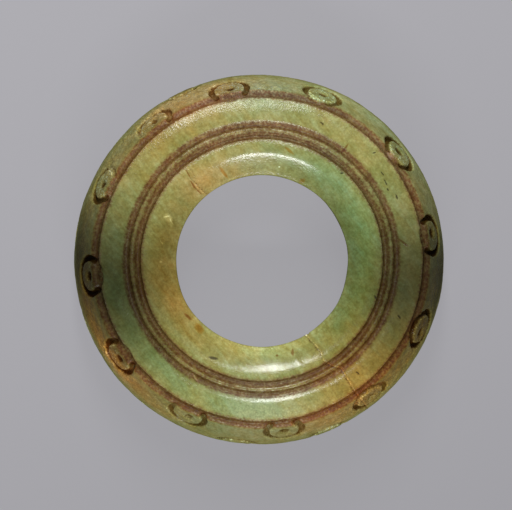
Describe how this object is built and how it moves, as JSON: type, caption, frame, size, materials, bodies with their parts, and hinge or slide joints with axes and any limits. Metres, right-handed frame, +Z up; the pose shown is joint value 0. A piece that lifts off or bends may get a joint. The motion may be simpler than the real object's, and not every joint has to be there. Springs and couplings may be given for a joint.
{
  "type": "spindle whorl",
  "caption": "Turned ring-shaped bone spindle whorl, flat underneath and domed above, with turned grooves, ring-and-dot marks and a wide spindle hole.",
  "frame": {"origin": "centre of the flat underside, on the axis of the spindle hole", "axes": "+Z up the spindle hole from the flat underside to the decorated top; +X and +Y are the picture's right and up"},
  "size_m": [0.03, 0.03, 0.01],
  "materials": {
    "green_stained_bone": "satin"
  },
  "bodies": {
    "root": {"whorl": "green_stained_bone"}
  },
  "joints": []
}
